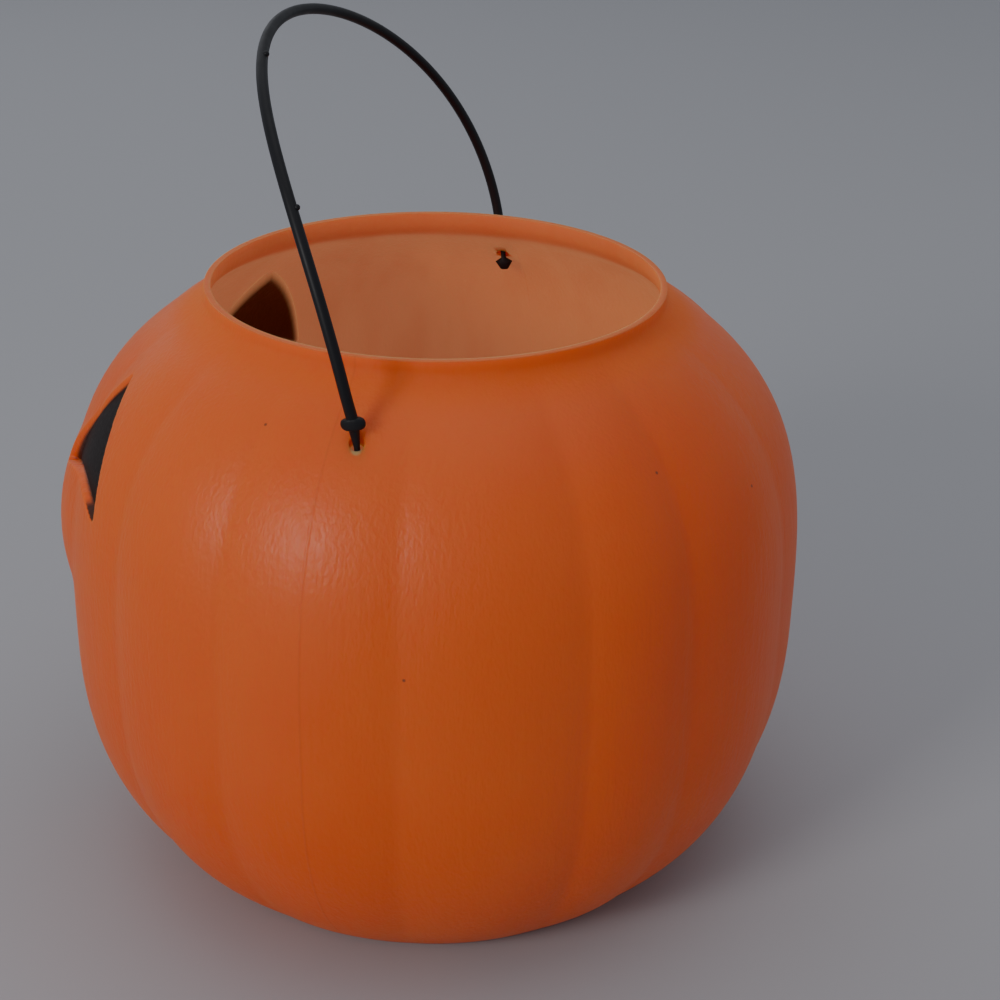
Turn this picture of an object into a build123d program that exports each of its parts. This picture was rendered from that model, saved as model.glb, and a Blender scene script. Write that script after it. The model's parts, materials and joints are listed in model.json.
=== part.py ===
from build123d import *
import os
from math import asin, cos, degrees, radians, sin, sqrt

# Pumpkin candy pail: a blow-moulded shell with a painted face, and a moulded bail pushed into two holes.
# Millimetres. Z is up, the origin is the middle of the base on the floor, and the face looks along -Y.

# Body, measured over the outside
body_diameter = 215.0
belly_height = 77.5
base_diameter = 146.5
shoulder_height = 170.2
neck_diameter = 131.0
lip_height = 5.0
lip_rounding = 0.5
lip_ledge = 0.5
wall = 1.8
lower_roundness = 2.4
upper_roundness = 3.4
section_shares = (0, 0.06, 0.15, 0.3, 0.45, 0.6, 0.75, 0.87, 0.95, 1)

# Ribs, with grooves at these turns from +X: all but the first and last have mirror images on the right
groove_turns = (-90, -62, -37, -15, 12, 39, 57, 85)
groove_depth = 1.6
groove_fade = 6
rib_shares = (0, 0.07, 0.28, 0.5, 0.72, 0.93)

# Raised middle of the base
base_recess_diameter = 112.0
base_recess_depth = 3.5

# Face, with turns measured from the middle of the face
face_azimuth = -90.0
cheek_turn = 24.9
cheek_height = 105.5
cheek_radius = 54.0
cheek_rise = 1.9
eye_turn = 33.4
eye_height = 134.9
eye_width = 40.5
eye_rise = 34.2
eye_lean = 1.2
eye_bulge = 3.5
nose_height = 103.0
nose_width = 24.0
nose_rise = 21.0
mouth_width = 92.0
mouth_corner_height = 76.0
mouth_upper_drop = 20.0
mouth_lower_drop = 43.0
tooth_width = 12.0
tooth_length = 9.0
upper_tooth_spacing = 36.0
face_depth = 2.4
face_reach = 20.0
paint = 0.25
paint_margin = 0.05

# Handle, with its holes turned a little off the middle of each side
hole_turn = 2.9
hole_radius = 82.3
hole_back = 1.0
hole_diameter = 4.8
rod_diameter = 3.0
arch_radius = 83.3
leg_length = 16.3
foot_lean = 7.2
bend_radius = 148.0
arch_step = 15
collar_width = 6.6
collar_depth = 3.2
collar_height = 3.0
collar_gap = 4.6
neck_bar_diameter = 2.2
barb_gap = 4.0
barb_width = 5.8
barb_depth = 2.4
barb_length = 4.0
barb_tip_width = 2.4
barb_tip_depth = 1.4
nub_diameter = 1.6
nub_angles = (31.0, 67.5)

os.makedirs("parts", exist_ok=True)


def belly_radius(height):
    """Outer radius of the plain body at a height."""
    belly = body_diameter / 2
    if height < belly_height:
        end = base_diameter / 2
        share = (belly_height - height) / belly_height
        roundness = lower_roundness
    else:
        end = neck_diameter / 2
        share = (height - belly_height) / (shoulder_height - belly_height)
        roundness = upper_roundness
    return sqrt(belly**2 - (belly**2 - end**2) * share**roundness)


def belly_slope(height):
    """Change of the outer radius for each millimetre of height."""
    step = 0.25
    return (belly_radius(height + step) - belly_radius(height - step)) / (2 * step)


def skin_radius(height, inset):
    """Radius of the body at a height, with its skin set in square to the surface."""
    return belly_radius(height) - inset * sqrt(1 + belly_slope(height) ** 2)


def shoulder_height_at(radius):
    """Height of the outer shoulder at a radius."""
    belly = body_diameter / 2
    share = ((belly**2 - radius**2) / (belly**2 - (neck_diameter / 2) ** 2)) ** (1 / upper_roundness)
    return belly_height + (shoulder_height - belly_height) * share


def section_heights(floor):
    """Heights of the sections that shape the body, from its floor to its shoulder."""
    return [floor + (shoulder_height - floor) * share for share in section_shares]


def around(radius, azimuth, height=0.0):
    """Point at a radius and an azimuth."""
    return (radius * cos(radians(azimuth)), radius * sin(radians(azimuth)), height)


def face_plane(turn, height):
    """Plane that touches the skin, square to it, at a turn from the middle of the face."""
    azimuth = face_azimuth + turn
    outward = Vector(around(1, azimuth, -belly_slope(height)))
    return Plane(around(belly_radius(height), azimuth, height), x_dir=around(1, azimuth + 90), z_dir=outward)


def rib_points():
    """Azimuths round the ribs, each with its share of the groove depth: 0 on a crest and 1 in a groove."""
    mirrored = [180 - turn for turn in reversed(groove_turns[1:-1])]
    grooves = [*groove_turns, *mirrored, groove_turns[0] + 360]
    points = []
    for start, end in zip(grooves, grooves[1:]):
        points += [(start + (end - start) * share, (2 * share - 1) ** 2) for share in rib_shares]
    return points


def ribbed_body(inset):
    """Solid body with ribs that fade out at its base and its shoulder."""
    with BuildPart() as body:
        for height in section_heights(inset):
            crest = skin_radius(height, inset)
            depth = groove_depth * (1 - abs(2 * height / shoulder_height - 1) ** groove_fade)
            points = [around(crest - depth * share, azimuth) for azimuth, share in rib_points()]
            with BuildSketch(Plane.XY.offset(height)):
                with BuildLine():
                    Spline(*points, periodic=True)
                make_face()
        loft()
    return body.part


def plain_body(inset):
    """Solid body without ribs, for the floor of the sunk face."""
    with BuildPart() as body:
        with BuildSketch(Plane.XZ):
            with BuildLine():
                skin = Spline(*[(skin_radius(height, inset), height) for height in section_heights(0)])
                Polyline(skin @ 1, (0, shoulder_height), (0, 0), skin @ 0)
            make_face()
        revolve(axis=Axis.Z)
    return body.part


def nose_block(growth):
    """Triangular block through the middle of the face, point up."""
    with BuildPart() as block:
        with BuildSketch(face_plane(0, nose_height)):
            with BuildLine():
                low = -nose_rise / 3
                Polyline((-nose_width / 2, low), (nose_width / 2, low), (0, low + nose_rise), close=True)
            make_face()
            if growth:
                offset(amount=growth, kind=Kind.INTERSECTION)
        extrude(amount=face_reach, both=True)
    return block.part


def eye_block(side, growth):
    """Triangular block through one side of the face, point up, its outer edge bulged."""
    low = -eye_rise / 3
    outer = Vector(side * eye_width / 2, low)
    point = Vector(side * eye_lean, low + eye_rise)
    edge = point - outer
    middle = outer + edge / 2 + Vector(edge.Y, -edge.X).normalized() * side * eye_bulge
    with BuildPart() as block:
        with BuildSketch(face_plane(side * eye_turn, eye_height)):
            with BuildLine():
                Polyline(point, (-side * eye_width / 2, low), outer)
                ThreePointArc(outer, middle, point)
            make_face()
            if growth:
                offset(amount=growth, kind=Kind.INTERSECTION)
        extrude(amount=face_reach, both=True)
    return block.part


def mouth_block(growth):
    """Grin with its teeth, run through the front of the body."""
    corner = mouth_width / 2
    upper = mouth_corner_height - mouth_upper_drop
    lower = mouth_corner_height - mouth_lower_drop
    with BuildPart() as block:
        with BuildSketch(Plane.XZ):
            with BuildLine():
                ThreePointArc((-corner, mouth_corner_height), (0, upper), (corner, mouth_corner_height))
                ThreePointArc((corner, mouth_corner_height), (0, lower), (-corner, mouth_corner_height))
            make_face()
            with Locations((-upper_tooth_spacing / 2, upper), (upper_tooth_spacing / 2, upper)):
                Rectangle(tooth_width, 2 * tooth_length, mode=Mode.SUBTRACT)
            with Locations((0, lower)):
                Rectangle(tooth_width, 2 * tooth_length, mode=Mode.SUBTRACT)
            if growth:
                offset(amount=growth, kind=Kind.INTERSECTION)
        extrude(amount=body_diameter)
    return block.part


def face_blocks(growth):
    """Blocks through the front of the body that cut out the eyes, the nose and the mouth."""
    return {
        "nose": nose_block(growth),
        "mouth": mouth_block(growth),
        "left_eye": eye_block(1, growth),
        "right_eye": eye_block(-1, growth),
    }


def pumpkin(inset):
    """Solid pumpkin with its cheeks, cut flat at the shoulder, and sunk face, all set in by one thickness."""
    ribbed = ribbed_body(inset)
    face_floor = plain_body(face_depth + inset)
    with BuildPart() as sunk_face:
        add(list(face_blocks(inset).values()))
        add(face_floor, mode=Mode.SUBTRACT)
    with BuildPart() as dome:
        with BuildSketch(Plane.XZ):
            with BuildLine():
                rim = (base_recess_diameter / 2, inset)
                top = (0, inset + base_recess_depth)
                RadiusArc(rim, top, -(base_recess_diameter**2 / 8 + base_recess_depth**2 / 2) / base_recess_depth)
                Polyline(top, (0, inset - wall), (rim[0], inset - wall), rim)
            make_face()
        revolve(axis=Axis.Z)
    with BuildPart() as body:
        add(ribbed)
        cheek_room = (shoulder_height - inset - cheek_height) / (cheek_radius - inset)
        for side in (-1, 1):
            centre = belly_radius(cheek_height) + cheek_rise - cheek_radius
            with Locations(around(centre, face_azimuth + side * cheek_turn, cheek_height)):
                Sphere(cheek_radius - inset, arc_size2=degrees(asin(min(1, cheek_room))))
        add([sunk_face.part, dome.part], mode=Mode.SUBTRACT)
    return body.part


# Pail shell
outside = pumpkin(0)
cavity = pumpkin(wall)
lip_radius = neck_diameter / 2 - lip_ledge
lip_top = shoulder_height + lip_height
with BuildPart() as hollow:
    add(cavity)
    with Locations((0, 0, lip_top)):
        Cylinder(lip_radius - wall, lip_height + 2 * wall, align=(Align.CENTER, Align.CENTER, Align.MAX))
with BuildPart() as pail_shell:
    add(outside)
    with Locations((0, 0, lip_top)):
        Cylinder(lip_radius, lip_height + wall, align=(Align.CENTER, Align.CENTER, Align.MAX))
    add(hollow.part, mode=Mode.SUBTRACT)
    with Locations((0, hole_back, shoulder_height)):
        with PolarLocations(hole_radius, 2, start_angle=hole_turn):
            Cylinder(
                hole_diameter / 2,
                shoulder_height - belly_height,
                align=(Align.CENTER, Align.CENTER, Align.MAX),
                mode=Mode.SUBTRACT,
            )
    fillet(pail_shell.edges().group_by(Axis.Z)[-1], lip_rounding)
pail_shell.part.label = "pail_shell"
export_step(pail_shell.part, "parts/pail_shell.step")

# Paint on the floor of the sunk face
film_outside = plain_body(face_depth - paint_margin - paint)
film_inside = plain_body(face_depth - paint_margin)
for feature, block in face_blocks(-paint_margin).items():
    with BuildPart() as film:
        add(block)
        add(film_outside, mode=Mode.INTERSECT)
        add(film_inside, mode=Mode.SUBTRACT)
    film.part.label = f"{feature}_paint"
    export_step(film.part, f"parts/{feature}_paint.step")

# Handle, drawn with its two feet on X and then turned to the holes
wall_drop = wall / 2 * sqrt(1 + 1 / belly_slope(shoulder_height_at(hole_radius)) ** 2)
pivot_height = shoulder_height_at(hole_radius) - wall_drop


def bent(x, rise, side=0.0):
    """Point of the bail at a height up its bent plane, side being square to that plane."""
    lean = radians(foot_lean) + rise / bend_radius
    reach = bend_radius + side
    y = reach * cos(lean) - bend_radius * cos(radians(foot_lean))
    z = reach * sin(lean) - bend_radius * sin(radians(foot_lean))
    return (x, y, pivot_height + z)


def arch(angle, side=0.0):
    """Point of the arch at an angle from the top of a leg."""
    return bent(arch_radius * cos(radians(angle)), leg_length + arch_radius * sin(radians(angle)), side)


foot = Vector(bent(hole_radius, 0))
up_leg = Vector(0, -sin(radians(foot_lean)), cos(radians(foot_lean)))
collar_bottom = Plane(foot + up_leg * collar_gap, x_dir=(1, 0, 0), z_dir=up_leg)
barb_top = Plane(foot - up_leg * barb_gap, x_dir=(1, 0, 0), z_dir=-up_leg)
with BuildPart() as handle:
    with BuildLine() as half_rod:
        tangent = Vector(1, 0, 0)
        for angle in range(90, 0, -arch_step):
            stretch = TangentArc(arch(angle), arch(angle - arch_step), tangent=tangent)
            tangent = stretch % 1
        TangentArc(arch(0), bent(hole_radius, collar_gap + collar_height / 2), tangent=tangent)
    with BuildSketch(Plane(half_rod.line @ 0, z_dir=(1, 0, 0))):
        Circle(rod_diameter / 2)
    sweep(path=half_rod.wires()[0])
    with BuildSketch(collar_bottom):
        SlotOverall(collar_width, collar_depth, rotation=90)
    extrude(amount=collar_height)
    with BuildSketch(collar_bottom):
        Circle(neck_bar_diameter / 2)
    extrude(amount=-collar_gap - barb_gap)
    with BuildSketch(barb_top):
        SlotOverall(barb_width, barb_depth, rotation=90)
    with BuildSketch(barb_top.offset(barb_length)):
        SlotOverall(barb_tip_width, barb_tip_depth, rotation=90)
    loft()
    mirror(about=Plane.YZ)
    for angle in nub_angles:
        with Locations(arch(angle, rod_diameter / 2)):
            Sphere(nub_diameter / 2)
bail = Pos(0, hole_back, 0) * handle.part.rotate(Axis.Z, hole_turn)
bail.label = "handle"
export_step(bail, "parts/handle.step")

print("pivot height", round(pivot_height, 3))
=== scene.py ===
"""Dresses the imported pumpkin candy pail: its ribbed plastic shell, its painted face and its swing handle."""

import json
import logging
import math
from collections.abc import Callable, Sequence
from dataclasses import dataclass, field
from enum import Enum
from typing import Any

import bpy
import numpy as np
from mathutils import Matrix, Vector


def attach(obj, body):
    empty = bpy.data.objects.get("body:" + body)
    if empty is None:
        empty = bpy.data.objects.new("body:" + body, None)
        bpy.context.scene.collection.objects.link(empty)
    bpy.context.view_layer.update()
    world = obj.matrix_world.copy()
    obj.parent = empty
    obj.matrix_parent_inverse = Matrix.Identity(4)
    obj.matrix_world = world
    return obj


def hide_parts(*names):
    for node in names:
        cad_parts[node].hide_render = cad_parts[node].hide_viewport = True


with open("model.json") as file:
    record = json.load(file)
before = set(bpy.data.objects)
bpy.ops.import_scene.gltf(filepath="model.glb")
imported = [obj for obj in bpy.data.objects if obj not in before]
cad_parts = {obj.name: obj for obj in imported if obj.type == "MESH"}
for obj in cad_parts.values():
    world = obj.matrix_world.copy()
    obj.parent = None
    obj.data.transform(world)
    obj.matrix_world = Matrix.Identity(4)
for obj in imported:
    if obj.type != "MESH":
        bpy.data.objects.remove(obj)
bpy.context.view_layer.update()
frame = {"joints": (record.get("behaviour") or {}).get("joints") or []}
SWING = frame["joints"][0]
LOG = logging.getLogger("pail")

# Distance of the handle holes from the middle of the swing axis
HOLE_RADIUS = 0.0823
# Depth behind a plane of the face that reaches the pail's middle
MIDDLE_DEPTH = 0.06
# Distances within which points are merged, or count as level
MERGE_DISTANCE = 1e-6
HAIR = 1e-5
# Middle of a noise's range
NOISE_MIDDLE = 0.5

Point2 = tuple[float, float]
Point3 = tuple[float, float, float]
Rgba = tuple[float, float, float, float]
Weights = Callable[[np.ndarray], np.ndarray]


class Body(Enum):
    """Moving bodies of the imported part."""

    PAIL = "pail"
    BAIL = "bail"


class Slot(Enum):
    """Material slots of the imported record."""

    SHELL = "orange_plastic"
    PAINT = "black_paint"
    HANDLE = "black_plastic"


# Modelling helpers


def start_clean() -> None:
    """Leaves edit mode and deselects every object."""
    if bpy.context.object and bpy.context.object.mode != "OBJECT":
        bpy.ops.object.mode_set(mode="OBJECT")
    bpy.ops.object.select_all(action="DESELECT")


def pick(piece: bpy.types.Object) -> None:
    """Makes one piece the only selected and active object.

    Args:
        piece: Piece to select.
    """
    start_clean()
    piece.select_set(True)
    bpy.context.view_layer.objects.active = piece


def edit(piece: bpy.types.Object, action: str = "SELECT") -> None:
    """Opens one piece in edit mode with all of it selected or deselected.

    Args:
        piece: Piece to open.
        action: SELECT or DESELECT.
    """
    pick(piece)
    bpy.ops.object.mode_set(mode="EDIT")
    bpy.ops.mesh.select_mode(type="VERT")
    bpy.ops.mesh.select_all(action=action)


def close_edit() -> None:
    """Goes back to object mode."""
    bpy.ops.object.mode_set(mode="OBJECT")


def close_mesh() -> None:
    """Merges doubles, turns all faces outward and goes back to object mode."""
    bpy.ops.mesh.select_all(action="SELECT")
    bpy.ops.mesh.remove_doubles(threshold=MERGE_DISTANCE)
    bpy.ops.mesh.normals_make_consistent(inside=False)
    close_edit()


def settle(piece: bpy.types.Object) -> None:
    """Puts the place of a piece into its mesh."""
    pick(piece)
    bpy.ops.object.transform_apply(location=True, rotation=True, scale=True)


def smooth(piece: bpy.types.Object, crease: float) -> None:
    """Shades a piece smooth, apart from edges sharper than a crease in degrees."""
    pick(piece)
    bpy.ops.object.shade_smooth_by_angle(angle=math.radians(crease))


def named(name: str) -> bpy.types.Object:
    """Gives the piece that was just added its name.

    Args:
        name: Name for the object and its mesh.

    Returns:
        The piece.
    """
    piece = bpy.context.object
    piece.name = name
    piece.data.name = name
    return piece


def apply_modifier(piece: bpy.types.Object, kind: str, **settings: Any) -> None:
    """Adds a modifier to a piece and applies it.

    Args:
        piece: Piece that is changed.
        kind: Blender's name of the modifier.
        **settings: Properties that are set on it.
    """
    pick(piece)
    modifier = piece.modifiers.new(kind, kind)
    for name, value in settings.items():
        setattr(modifier, name, value)
    bpy.ops.object.modifier_apply(modifier=modifier.name)


def round_edges(piece: bpy.types.Object, crease: float, width: float, steps: int) -> None:
    """Rounds the sharp edges of a piece.

    Args:
        piece: Piece that is changed.
        crease: Degrees past which an edge is sharp.
        width: Width of the rounding.
        steps: Faces across it.
    """
    limit = math.radians(crease)
    apply_modifier(piece, "BEVEL", limit_method="ANGLE", angle_limit=limit, width=width, segments=steps)


def points_of(piece: bpy.types.Object) -> np.ndarray:
    """Reads the places of a piece's vertices.

    Args:
        piece: Piece to read.

    Returns:
        The places, one row each.
    """
    flat = np.empty(len(piece.data.vertices) * 3)
    piece.data.vertices.foreach_get("co", flat)
    return flat.reshape(-1, 3)


def place_points(piece: bpy.types.Object, points: np.ndarray) -> None:
    """Moves a piece's vertices to new places."""
    piece.data.vertices.foreach_set("co", points.ravel())
    piece.data.update()


def displace(piece: bpy.types.Object, name: str, share: Weights, reach: float) -> None:
    """Moves the skin of a piece along its normals.

    Args:
        piece: Piece that is changed.
        name: Name of the vertex group that holds the shares.
        share: Function from the vertices' places to shares of the reach.
        reach: Farthest move, negative for inward.
    """
    group = piece.vertex_groups.new(name=name)
    for index, weight in enumerate(share(points_of(piece))):
        group.add([index], float(weight), "REPLACE")
    apply_modifier(piece, "DISPLACE", vertex_group=name, strength=reach, mid_level=0)


def mark(piece: bpy.types.Object, name: str, values: np.ndarray) -> None:
    """Stores one number on each vertex for a material to read."""
    attribute = piece.data.attributes.new(name, "FLOAT", "POINT")
    attribute.data.foreach_set("value", values.astype(np.float32))


def group_weights(piece: bpy.types.Object, name: str) -> np.ndarray:
    """Reads the weights of a piece's vertices in a group.

    Args:
        piece: Piece to read.
        name: Name of the group.

    Returns:
        The weights, 0 outside the group.
    """
    place = piece.vertex_groups[name].index
    weights = np.zeros(len(piece.data.vertices))
    for vertex in piece.data.vertices:
        for member in vertex.groups:
            if member.group == place:
                weights[vertex.index] = member.weight
    return weights


def inside_margin(points: np.ndarray, outline: Sequence[Point2], place: Matrix) -> np.ndarray:
    """Distances of points from the edge of a flat outline.

    Args:
        points: Places, one row each.
        outline: Corners of the outline in the plane.
        place: The plane, with its normal as the third axis.

    Returns:
        Distances in the plane, positive inside the outline, and far outside behind the pail's middle.
    """
    turn = np.array(place.inverted().to_3x3())
    flat = (points - np.array(place.translation)) @ turn.T
    spot = flat[:, :2]
    nearest = np.full(len(points), np.inf)
    crossings = np.zeros(len(points), bool)
    corners = np.array(outline)
    for start, end in zip(corners, np.roll(corners, -1, axis=0)):
        along = end - start
        share = np.clip((spot - start) @ along / (along @ along), 0, 1)
        nearest = np.minimum(nearest, np.linalg.norm(spot - start - share[:, None] * along, axis=1))
        spans = (start[1] > spot[:, 1]) != (end[1] > spot[:, 1])
        rise = along[1] if along[1] else 1.0
        across = start[0] + (spot[:, 1] - start[1]) * along[0] / rise
        crossings ^= spans & (spot[:, 0] < across)
    signed = np.where(crossings, nearest, -nearest)
    return np.where(flat[:, 2] > -MIDDLE_DEPTH, signed, -MIDDLE_DEPTH)


def select_faces(piece: bpy.types.Object, keep: np.ndarray) -> None:
    """Opens a piece in edit mode with only the marked faces selected.

    Args:
        piece: Piece to open.
        keep: True for each face to select.
    """
    edit(piece, "DESELECT")
    bpy.ops.mesh.select_mode(type="FACE")
    close_edit()
    piece.data.polygons.foreach_set("select", keep)
    bpy.ops.object.mode_set(mode="EDIT")


def face_centres(piece: bpy.types.Object) -> np.ndarray:
    """Middles of a piece's faces, one row each."""
    return np.array([face.center for face in piece.data.polygons])


def smoothstep(low: float, high: float, value: np.ndarray) -> np.ndarray:
    """Share from 0 at low to 1 at high, with soft ends."""
    share = np.clip((value - low) / (high - low), 0, 1)
    return share * share * (3 - 2 * share)


def lathe(name: str, outline: Sequence[Point2], columns: int) -> bpy.types.Object:
    """Spins an outline of radius and height about the upright axis.

    Args:
        name: Name of the new piece.
        outline: Points of radius and height that start and end on the axis.
        columns: Number of steps round the axis.

    Returns:
        The closed piece.
    """
    start_clean()
    bpy.ops.mesh.primitive_plane_add(size=outline[1][0])
    piece = named(name)
    edit(piece)
    bpy.ops.mesh.merge(type="CENTER")
    bpy.ops.transform.translate(value=(outline[0][0], 0, outline[0][1]))
    for (radius, height), (next_radius, next_height) in zip(outline, outline[1:]):
        step = (next_radius - radius, 0, next_height - height)
        bpy.ops.mesh.extrude_vertices_move(TRANSFORM_OT_translate={"value": step})
    bpy.ops.mesh.select_all(action="SELECT")
    bpy.ops.mesh.spin(steps=columns, angle=math.tau, center=(0, 0, 0), axis=(0, 0, 1))
    close_mesh()
    return piece


def outline_block(
    name: str, outline: Sequence[Point2], place: Matrix, reach: float, corner: float, steps: int
) -> bpy.types.Object:
    """Block with a flat outline, run through a plane.

    Args:
        name: Name of the new piece.
        outline: Corners of the outline in the plane.
        place: The plane, with its normal as the third axis.
        reach: Length of the block either side of the plane.
        corner: Rounding of the outline's corners.
        steps: Faces round each corner.

    Returns:
        The closed block.
    """
    start_clean()
    bpy.ops.mesh.primitive_circle_add(vertices=len(outline), fill_type="NGON")
    piece = named(name)
    for vertex, (across, up) in zip(piece.data.vertices, outline):
        vertex.co = (across, up, -reach)
    edit(piece)
    bpy.ops.mesh.bevel(affect="VERTICES", offset=corner, segments=steps)
    bpy.ops.mesh.select_all(action="SELECT")
    bpy.ops.mesh.extrude_region_move(TRANSFORM_OT_translate={"value": (0, 0, 2 * reach)})
    bpy.ops.mesh.select_all(action="SELECT")
    bpy.ops.mesh.normals_make_consistent(inside=False)
    close_edit()
    piece.matrix_world = place
    settle(piece)
    return piece


def join(name: str, pieces: Sequence[bpy.types.Object]) -> bpy.types.Object:
    """Joins pieces into one mesh.

    Args:
        name: Name of the joined piece.
        pieces: Pieces to join.

    Returns:
        The joined piece.
    """
    start_clean()
    for piece in pieces:
        piece.select_set(True)
    bpy.context.view_layer.objects.active = pieces[0]
    bpy.ops.object.join()
    return named(name)


def discard(*pieces: bpy.types.Object) -> None:
    """Deletes pieces that were only tools."""
    for piece in pieces:
        bpy.data.objects.remove(piece)


def finish_piece(
    piece: bpy.types.Object, body: Body, slot: Slot, material: bpy.types.Material, *nodes: str
) -> None:
    """Gives a finished piece its material and its body, and hides the CAD nodes that it stands for.

    Args:
        piece: Finished piece.
        body: Body that it rides on.
        slot: Material slot of the record; not used.
        material: Its material.
        *nodes: CAD nodes that it stands for.
    """
    piece.data.materials.clear()
    piece.data.materials.append(material)
    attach(piece, body.value)
    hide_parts(*nodes)
    triangles = sum(len(face.vertices) - 2 for face in piece.data.polygons)
    LOG.info("%s: %d triangles", piece.name, triangles)


# Shader expressions


@dataclass(frozen=True)
class Value:
    """Number socket that takes part in Python expressions."""

    shader: "Shader"
    socket: bpy.types.NodeSocket

    def math(self, operation: str, *terms: "Value | float") -> "Value":
        """Adds one Math node over the given terms."""
        node = self.shader.node("ShaderNodeMath", {"operation": operation}, dict(enumerate(terms)))
        return Value(self.shader, node.outputs[0])

    def __add__(self, other: "Value | float") -> "Value":
        """Sum of two numbers."""
        return self.math("ADD", self, other)

    def __radd__(self, other: float) -> "Value":
        """Sum with a plain number first."""
        return self.math("ADD", other, self)

    def __sub__(self, other: "Value | float") -> "Value":
        """Difference of two numbers."""
        return self.math("SUBTRACT", self, other)

    def __rsub__(self, other: float) -> "Value":
        """Difference with a plain number first."""
        return self.math("SUBTRACT", other, self)

    def __mul__(self, other: "Value | float") -> "Value":
        """Product of two numbers."""
        return self.math("MULTIPLY", self, other)

    def __rmul__(self, other: float) -> "Value":
        """Product with a plain number first."""
        return self.math("MULTIPLY", other, self)

    def __abs__(self) -> "Value":
        """Size of a number without its sign."""
        return self.math("ABSOLUTE", self)

    def ramp(self, low: float, high: float) -> "Value":
        """Share from 0 at low to 1 at high, with soft ends; low may be the larger."""
        node = self.shader.node(
            "ShaderNodeMapRange",
            {"interpolation_type": "SMOOTHSTEP"},
            {"Value": self, "From Min": low, "From Max": high},
        )
        return Value(self.shader, node.outputs["Result"])


class Shader:
    """Node tree of one material."""

    def __init__(self, name: str) -> None:
        """Makes an empty material.

        Args:
            name: Name of the material.
        """
        self.material = bpy.data.materials.new(name)
        self.material.use_nodes = True
        self.tree = self.material.node_tree
        self.tree.nodes.clear()

    def node(
        self,
        kind: str,
        settings: dict[str, Any] | None = None,
        inputs: dict[str | int, Any] | None = None,
    ) -> bpy.types.Node:
        """Adds a node.

        Args:
            kind: Blender's type name of the node.
            settings: Properties of the node, set first.
            inputs: Values or links of its sockets, by name or place.

        Returns:
            The node.
        """
        made = self.tree.nodes.new(kind)
        for name, value in (settings or {}).items():
            setattr(made, name, value)
        for key, value in (inputs or {}).items():
            if isinstance(value, Value):
                value = value.socket
            if isinstance(value, bpy.types.NodeSocket):
                self.tree.links.new(value, made.inputs[key])
            else:
                made.inputs[key].default_value = value
        return made

    def place(self) -> tuple[bpy.types.NodeSocket, Value, Value, Value]:
        """Reads the Object coordinates.

        Returns:
            The coordinates as one vector, and as three numbers.
        """
        coordinates = self.node("ShaderNodeTexCoord").outputs["Object"]
        parts = self.node("ShaderNodeSeparateXYZ", inputs={0: coordinates})
        return coordinates, *(Value(self, parts.outputs[axis]) for axis in "XYZ")

    def noise(
        self, coordinates: bpy.types.NodeSocket, stretch: Sequence[float], detail: float = 2.0
    ) -> Value:
        """Adds noise over coordinates.

        Args:
            coordinates: Coordinates that it reads.
            stretch: Cells to the metre along each axis.
            detail: Finer layers on top.

        Returns:
            The noise.
        """
        mapped = self.node("ShaderNodeMapping", inputs={"Vector": coordinates, "Scale": stretch})
        texture = self.node(
            "ShaderNodeTexNoise", inputs={"Vector": mapped.outputs[0], "Scale": 1.0, "Detail": detail}
        )
        return Value(self, texture.outputs["Fac"])

    def attribute(self, name: str) -> Value:
        """Number stored on the mesh under a name."""
        return Value(self, self.node("ShaderNodeAttribute", {"attribute_name": name}).outputs["Fac"])

    def mix(self, share: Value, first: Any, second: Any) -> bpy.types.NodeSocket:
        """Colour between two colours."""
        node = self.node("ShaderNodeMix", {"data_type": "RGBA"}, {0: share, 6: first, 7: second})
        return node.outputs[2]

    def bump(self, height: Value, depth: float) -> bpy.types.NodeSocket:
        """Normal that a height of that depth in metres gives."""
        node = self.node("ShaderNodeBump", inputs={"Height": height, "Distance": depth})
        return node.outputs["Normal"]

    def near(self, coordinates: bpy.types.NodeSocket, spot: Sequence[float]) -> Value:
        """Distance from a spot."""
        node = self.node(
            "ShaderNodeVectorMath", {"operation": "DISTANCE"}, {0: coordinates, 1: spot}
        )
        return Value(self, node.outputs["Value"])

    def surface(self, **inputs: Any) -> bpy.types.Material:
        """Ends the tree with one Principled surface.

        Args:
            **inputs: Socket values or links, with underscores for spaces.

        Returns:
            The finished material.
        """
        sockets = {name.replace("_", " "): value for name, value in inputs.items()}
        shader = self.node("ShaderNodeBsdfPrincipled", inputs=sockets)
        self.node("ShaderNodeOutputMaterial", inputs={"Surface": shader.outputs[0]})
        return self.material


# Finishes


@dataclass(frozen=True)
class SkinMarks:
    """Places on the pail that its plastic shows. Metres."""

    lip_top: float
    specks: Sequence[Sequence[float]]
    paint_stains: Sequence[Sequence[float]]
    punched_holes: Sequence[Sequence[float]]


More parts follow.
